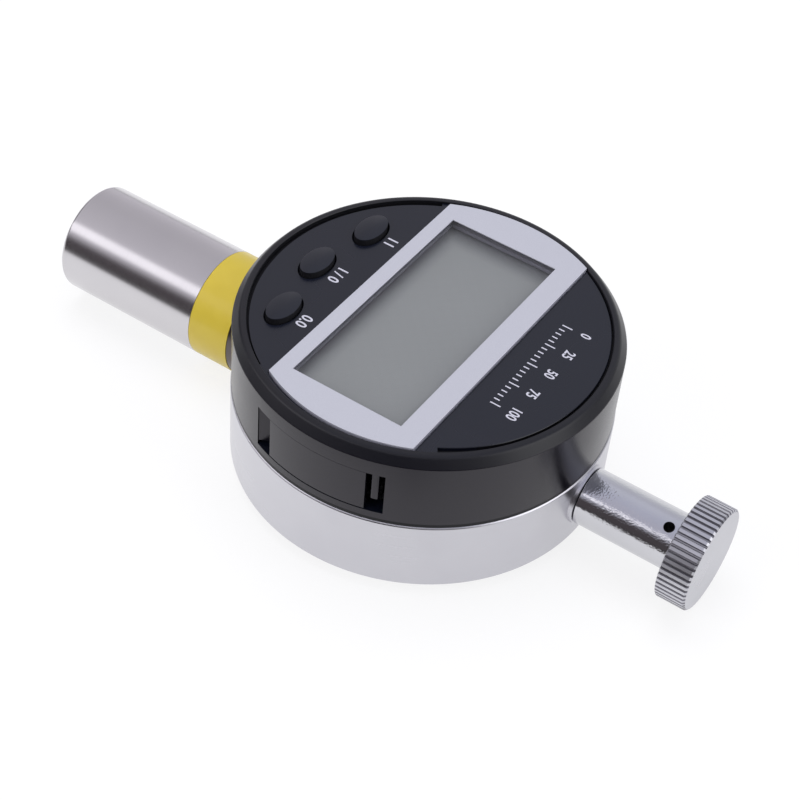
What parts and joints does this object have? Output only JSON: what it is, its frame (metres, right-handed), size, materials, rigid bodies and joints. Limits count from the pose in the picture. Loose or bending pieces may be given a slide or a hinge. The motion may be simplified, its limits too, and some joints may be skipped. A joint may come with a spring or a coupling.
{
  "type": "digital durometer",
  "caption": "Digital pocket durometer: round drum with a display head and buttons, a sprung indenter in a steel barrel, a battery drawer and a knurled knob on a stem.",
  "frame": {"origin": "centre of the back cover's outer face, which the durometer lies on", "axes": "+Z is the display's normal, +X runs along the spindle from the presser foot to the knob, and the battery drawer opens towards -Y"},
  "size_m": [0.1176, 0.0584, 0.0285],
  "materials": {
    "plated_drum": "satin plated",
    "turned_steel": "fine turned",
    "bright_chrome": "polished",
    "ground_steel": "ground and hardened",
    "black_plastic": "fine textured moulding",
    "button_plastic": "fine textured moulding",
    "clear_plastic": "clear acrylic",
    "silver_print": "silver print",
    "lcd_glass": "matt polariser",
    "inner_plastic": "moulded",
    "circuit_board": "solder resist",
    "chip_resin": "moulded resin",
    "zebra_rubber": "layered silicone",
    "flex_film": "polyimide film",
    "tape_film": "thin vinyl film",
    "bush_brass": "reamed",
    "spring_steel": "drawn wire",
    "screw_steel": "zinc plated",
    "cell_steel": "nickel plated"
  },
  "bodies": {
    "case": {"rear_case": "plated_drum", "back_cover": "plated_drum", "back_cover_screws": "screw_steel", "barrel": "turned_steel", "seal_tape": "tape_film", "front_bush": "bush_brass", "spring_seat": "turned_steel", "main_spring": "spring_steel", "stem": "bright_chrome", "rear_bush": "bush_brass", "base_plate": "inner_plastic", "head_screws": "screw_steel", "sensor_board": "circuit_board", "sensor_screws": "screw_steel", "sensor_flex": "flex_film", "front_housing": "black_plastic", "display_window": "clear_plastic", "display_bezel": "silver_print", "lcd": "lcd_glass", "lcd_frame": "inner_plastic", "zebra_strips": "zebra_rubber", "main_board": "circuit_board", "controller_chip": "chip_resin", "crystal": "cell_steel", "snap_domes": "cell_steel", "board_screws": "screw_steel", "positive_contact": "cell_steel", "negative_contact": "cell_steel"},
    "plunger": {"spindle": "ground_steel", "indenter": "ground_steel", "spring_collar": "turned_steel", "scale_carriage": "inner_plastic", "carriage_screw": "screw_steel", "scale_plate": "circuit_board"},
    "hold_key": {"hold_button": "button_plastic"},
    "power_key": {"power_button": "button_plastic"},
    "zero_key": {"zero_button": "button_plastic"},
    "drawer": {"battery_tray": "black_plastic", "button_cell": "cell_steel"},
    "grip": {"knob": "bright_chrome"}
  },
  "joints": [
    {"name": "indenter_slide", "type": "slide", "parent": "case", "child": "plunger", "axis": [1, 0, 0], "range_m": [0, 0.0025], "stiffness_N_per_m": 3000, "springref_m": -0.00018, "deforming": ["main_spring"]},
    {"name": "hold_press", "type": "slide", "parent": "case", "child": "hold_key", "axis": [0, 0, -1], "range_m": [0, 0.0005], "stiffness_N_per_m": 2000, "springref_m": -0.0001},
    {"name": "power_press", "type": "slide", "parent": "case", "child": "power_key", "axis": [0, 0, -1], "range_m": [0, 0.0005], "stiffness_N_per_m": 2000, "springref_m": -0.0001},
    {"name": "zero_press", "type": "slide", "parent": "case", "child": "zero_key", "axis": [0, 0, -1], "range_m": [0, 0.0005], "stiffness_N_per_m": 2000, "springref_m": -0.0001},
    {"name": "drawer_slide", "type": "slide", "parent": "case", "child": "drawer", "axis": [0, -1, 0], "range_m": [0, 0.0142]},
    {"name": "knob_turn", "type": "hinge", "parent": "case", "child": "grip", "pos_m": [0, 0, 0.0092], "axis": [1, 0, 0], "continuous": true}
  ]
}
